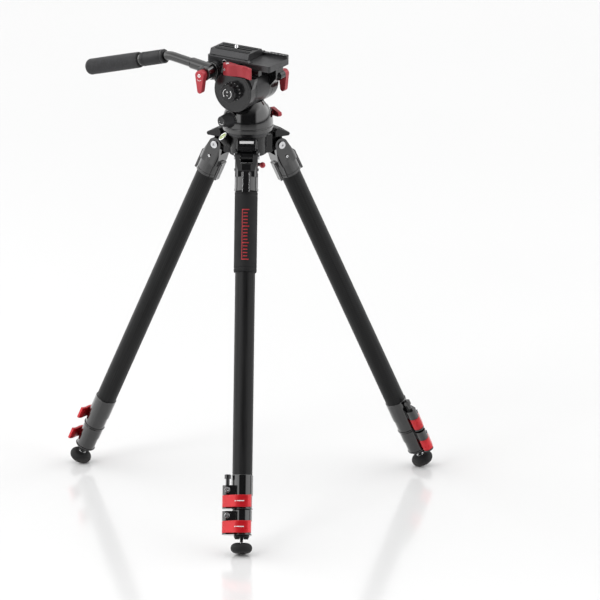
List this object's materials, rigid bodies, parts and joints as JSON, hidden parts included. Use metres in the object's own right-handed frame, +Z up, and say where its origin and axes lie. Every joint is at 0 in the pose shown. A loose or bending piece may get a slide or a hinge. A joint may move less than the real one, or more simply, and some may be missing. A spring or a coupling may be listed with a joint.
{
  "type": "video tripod with fluid head",
  "caption": "Folding carbon-fibre video tripod with flip-lock telescopic legs, and a fluid pan and tilt head with a quick plate, red locking levers and a pan bar.",
  "frame": {"origin": "on the floor, under the vertical pan axis", "axes": "+Z up along the pan axis; +X is the way the camera's lens points; +Y is the side away from the counterbalance knob, and the tilt axis runs along Y"},
  "size_m": [0.5873, 0.6645, 0.8454],
  "materials": {
    "gloss_black_aluminium": "gloss",
    "satin_black_aluminium": "satin",
    "carbon_fibre": "satin",
    "black_rubber": "matte",
    "foam_grip": "matte",
    "bright_red_anodised": "satin",
    "dusty_red_anodised": "satin",
    "steel": "polished",
    "black_steel": "satin",
    "black_knob": "satin",
    "level_glass": "gloss"
  },
  "bodies": {
    "hub": {"hub_casting": "gloss_black_aluminium", "hub_bubble_level": "level_glass", "top_plate": "satin_black_aluminium", "head_stud": "steel", "leg_pivot_bolts": "steel", "head_base_plate": "gloss_black_aluminium"},
    "leg_1": {"leg_1_yoke": "gloss_black_aluminium", "leg_1_upper_tube": "carbon_fibre", "leg_1_upper_clamp": "gloss_black_aluminium", "leg_1_sleeve": "black_rubber"},
    "leg_1_upper_lever": {"leg_1_upper_lever": "bright_red_anodised"},
    "leg_1_lower_lever": {"leg_1_lower_lever": "bright_red_anodised"},
    "leg_1_foot": {"leg_1_foot": "black_rubber"},
    "leg_1_angle_stop": {"leg_1_angle_stop": "gloss_black_aluminium"},
    "leg_1_middle": {"leg_1_middle_tube": "carbon_fibre", "leg_1_lower_clamp": "gloss_black_aluminium"},
    "leg_1_lower": {"leg_1_lower_tube": "carbon_fibre"},
    "leg_2": {"leg_2_yoke": "gloss_black_aluminium", "leg_2_upper_tube": "carbon_fibre", "leg_2_upper_clamp": "gloss_black_aluminium"},
    "leg_2_upper_lever": {"leg_2_upper_lever": "bright_red_anodised"},
    "leg_2_lower_lever": {"leg_2_lower_lever": "bright_red_anodised"},
    "leg_2_foot": {"leg_2_foot": "black_rubber"},
    "leg_2_angle_stop": {"leg_2_angle_stop": "gloss_black_aluminium"},
    "leg_2_middle": {"leg_2_middle_tube": "carbon_fibre", "leg_2_lower_clamp": "gloss_black_aluminium"},
    "leg_2_lower": {"leg_2_lower_tube": "carbon_fibre"},
    "leg_3": {"leg_3_yoke": "gloss_black_aluminium", "leg_3_upper_tube": "carbon_fibre", "leg_3_upper_clamp": "gloss_black_aluminium"},
    "leg_3_upper_lever": {"leg_3_upper_lever": "bright_red_anodised"},
    "leg_3_lower_lever": {"leg_3_lower_lever": "bright_red_anodised"},
    "leg_3_foot": {"leg_3_foot": "black_rubber"},
    "leg_3_angle_stop": {"leg_3_angle_stop": "gloss_black_aluminium"},
    "leg_3_middle": {"leg_3_middle_tube": "carbon_fibre", "leg_3_lower_clamp": "gloss_black_aluminium"},
    "leg_3_lower": {"leg_3_lower_tube": "carbon_fibre"},
    "platform_lock": {"platform_lock_lever": "gloss_black_aluminium"},
    "pan": {"pan_housing": "gloss_black_aluminium", "tilt_drum": "gloss_black_aluminium"},
    "pan_drag": {"pan_drag_knob": "black_knob"},
    "pan_lock": {"pan_lock_lever": "dusty_red_anodised"},
    "tilt": {"tilt_axle": "steel", "near_cheek": "gloss_black_aluminium", "far_cheek": "gloss_black_aluminium", "camera_platform": "satin_black_aluminium", "platform_screws": "black_steel"},
    "counterbalance": {"counterbalance_knob": "black_knob"},
    "tilt_drag": {"tilt_drag_knob": "black_knob"},
    "tilt_lock": {"tilt_lock_lever": "dusty_red_anodised"},
    "plate_lock": {"plate_lock_lever": "dusty_red_anodised"},
    "quick_plate": {"slide_plate": "satin_black_aluminium", "slide_plate_pads": "black_rubber"},
    "camera_screw": {"camera_screw": "steel"},
    "pan_bar": {"bar_clamp": "gloss_black_aluminium", "bar_tube": "gloss_black_aluminium"},
    "bar_wing": {"bar_wing_lever": "dusty_red_anodised"},
    "bar_collar": {"bar_collar": "black_knob"},
    "bar_extension": {"bar_extension": "gloss_black_aluminium", "bar_grip": "foam_grip"}
  },
  "joints": [
    {"name": "leg_1_spread", "type": "hinge", "parent": "hub", "child": "leg_1", "pos_m": [0.029, -0.05023, 0.65737], "axis": [-0.866, -0.5, 0], "range_deg": [-25, 55]},
    {"name": "leg_1_angle_stop_pull", "type": "slide", "parent": "hub", "child": "leg_1_angle_stop", "axis": [0.5, -0.866, 0], "range_m": [0, 0.008], "stiffness_N_per_m": 600, "springref_m": -0.004},
    {"name": "leg_1_middle_slide", "type": "slide", "parent": "leg_1", "child": "leg_1_middle", "axis": [0.2113, -0.366, -0.9063], "range_m": [0, 0.42]},
    {"name": "leg_1_lower_slide", "type": "slide", "parent": "leg_1_middle", "child": "leg_1_lower", "axis": [0.2113, -0.366, -0.9063], "range_m": [0, 0.42]},
    {"name": "leg_1_upper_lever_turn", "type": "hinge", "parent": "leg_1", "child": "leg_1_upper_lever", "pos_m": [0.14372, -0.30093, 0.09243], "axis": [0.2113, -0.366, -0.9063], "range_deg": [0, 120]},
    {"name": "leg_1_lower_lever_turn", "type": "hinge", "parent": "leg_1_middle", "child": "leg_1_lower_lever", "pos_m": [0.15344, -0.31776, 0.05074], "axis": [0.2113, -0.366, -0.9063], "range_deg": [0, 120]},
    {"name": "leg_1_foot_turn", "type": "hinge", "parent": "leg_1_lower", "child": "leg_1_foot", "pos_m": [0.17914, -0.31027, 0.01344], "axis": [0.2113, -0.366, -0.9063], "continuous": true},
    {"name": "leg_2_spread", "type": "hinge", "parent": "hub", "child": "leg_2", "pos_m": [0.029, 0.05023, 0.65737], "axis": [0.866, -0.5, 0], "range_deg": [-25, 55]},
    {"name": "leg_2_angle_stop_pull", "type": "slide", "parent": "hub", "child": "leg_2_angle_stop", "axis": [0.5, 0.866, 0], "range_m": [0, 0.008], "stiffness_N_per_m": 600, "springref_m": -0.004},
    {"name": "leg_2_middle_slide", "type": "slide", "parent": "leg_2", "child": "leg_2_middle", "axis": [0.2113, 0.366, -0.9063], "range_m": [0, 0.42]},
    {"name": "leg_2_lower_slide", "type": "slide", "parent": "leg_2_middle", "child": "leg_2_lower", "axis": [0.2113, 0.366, -0.9063], "range_m": [0, 0.42]},
    {"name": "leg_2_upper_lever_turn", "type": "hinge", "parent": "leg_2", "child": "leg_2_upper_lever", "pos_m": [0.18875, 0.27493, 0.09243], "axis": [0.2113, 0.366, -0.9063], "range_deg": [0, 120]},
    {"name": "leg_2_lower_lever_turn", "type": "hinge", "parent": "leg_2_middle", "child": "leg_2_lower_lever", "pos_m": [0.19847, 0.29176, 0.05074], "axis": [0.2113, 0.366, -0.9063], "range_deg": [0, 120]},
    {"name": "leg_2_foot_turn", "type": "hinge", "parent": "leg_2_lower", "child": "leg_2_foot", "pos_m": [0.17914, 0.31027, 0.01344], "axis": [0.2113, 0.366, -0.9063], "continuous": true},
    {"name": "leg_3_spread", "type": "hinge", "parent": "hub", "child": "leg_3", "pos_m": [-0.058, 0, 0.65737], "axis": [0, 1, 0], "range_deg": [-25, 55]},
    {"name": "leg_3_angle_stop_pull", "type": "slide", "parent": "hub", "child": "leg_3_angle_stop", "axis": [-1, 0, 0], "range_m": [0, 0.008], "stiffness_N_per_m": 600, "springref_m": -0.004},
    {"name": "leg_3_middle_slide", "type": "slide", "parent": "leg_3", "child": "leg_3_middle", "axis": [-0.4226, 0, -0.9063], "range_m": [0, 0.42]},
    {"name": "leg_3_lower_slide", "type": "slide", "parent": "leg_3_middle", "child": "leg_3_lower", "axis": [-0.4226, 0, -0.9063], "range_m": [0, 0.42]},
    {"name": "leg_3_upper_lever_turn", "type": "hinge", "parent": "leg_3", "child": "leg_3_upper_lever", "pos_m": [-0.33247, 0.026, 0.09243], "axis": [-0.4226, 0, -0.9063], "range_deg": [0, 120]},
    {"name": "leg_3_lower_lever_turn", "type": "hinge", "parent": "leg_3_middle", "child": "leg_3_lower_lever", "pos_m": [-0.35191, 0.026, 0.05074], "axis": [-0.4226, 0, -0.9063], "range_deg": [0, 120]},
    {"name": "leg_3_foot_turn", "type": "hinge", "parent": "leg_3_lower", "child": "leg_3_foot", "pos_m": [-0.35827, 0, 0.01344], "axis": [-0.4226, 0, -0.9063], "continuous": true},
    {"name": "platform_lock_turn", "type": "hinge", "parent": "hub", "child": "platform_lock", "pos_m": [0, 0, 0.62737], "axis": [0, 0, 1], "range_deg": [0, 90]},
    {"name": "pan", "type": "hinge", "parent": "hub", "child": "pan", "pos_m": [0, 0, 0.71237], "axis": [0, 0, -1], "continuous": true},
    {"name": "pan_drag_turn", "type": "hinge", "parent": "pan", "child": "pan_drag", "pos_m": [-0.01316, -0.04303, 0.71687], "axis": [-0.2924, -0.9563, 0], "range_deg": [-135, 135]},
    {"name": "tilt", "type": "hinge", "parent": "pan", "child": "tilt", "pos_m": [0, 0, 0.77437], "axis": [0, 1, 0], "range_deg": [-60, 60]},
    {"name": "pan_lock_turn", "type": "hinge", "parent": "pan", "child": "pan_lock", "pos_m": [0.025, 0.0433, 0.71737], "axis": [0.5, 0.866, 0], "range_deg": [-30, 40]},
    {"name": "counterbalance_turn", "type": "hinge", "parent": "tilt", "child": "counterbalance", "pos_m": [0, -0.06, 0.77437], "axis": [0, -1, 0], "range_deg": [0, 300]},
    {"name": "tilt_drag_turn", "type": "hinge", "parent": "tilt", "child": "tilt_drag", "pos_m": [0, 0.058, 0.77437], "axis": [0, 1, 0], "range_deg": [-135, 135]},
    {"name": "tilt_lock_turn", "type": "hinge", "parent": "tilt", "child": "tilt_lock", "pos_m": [0.046, 0.048, 0.79037], "axis": [0, -1, 0], "range_deg": [0, 75]},
    {"name": "plate_lock_turn", "type": "hinge", "parent": "tilt", "child": "plate_lock", "pos_m": [-0.014, -0.0459, 0.81237], "axis": [0, 0, -1], "range_deg": [0, 60]},
    {"name": "quick_plate_slide", "type": "slide", "parent": "tilt", "child": "quick_plate", "axis": [1, 0, 0], "range_m": [-0.02, 0.045]},
    {"name": "camera_screw_turn", "type": "hinge", "parent": "quick_plate", "child": "camera_screw", "pos_m": [-0.024, 0, 0.83837], "axis": [0, 0, 1], "continuous": true},
    {"name": "pan_bar_angle", "type": "hinge", "parent": "tilt", "child": "pan_bar", "pos_m": [-0.046, -0.052, 0.80637], "axis": [0, 1, 0], "range_deg": [-15, 60]},
    {"name": "bar_wing_turn", "type": "hinge", "parent": "pan_bar", "child": "bar_wing", "pos_m": [-0.046, -0.084, 0.80637], "axis": [0, 1, 0], "range_deg": [-60, 60]},
    {"name": "bar_collar_turn", "type": "hinge", "parent": "pan_bar", "child": "bar_collar", "pos_m": [-0.15987, -0.062, 0.81507], "axis": [-0.9613, 0, -0.2756], "range_deg": [0, 60]},
    {"name": "bar_extension_slide", "type": "slide", "parent": "pan_bar", "child": "bar_extension", "axis": [-0.9613, 0, -0.2756], "range_m": [0, 0.1]}
  ]
}
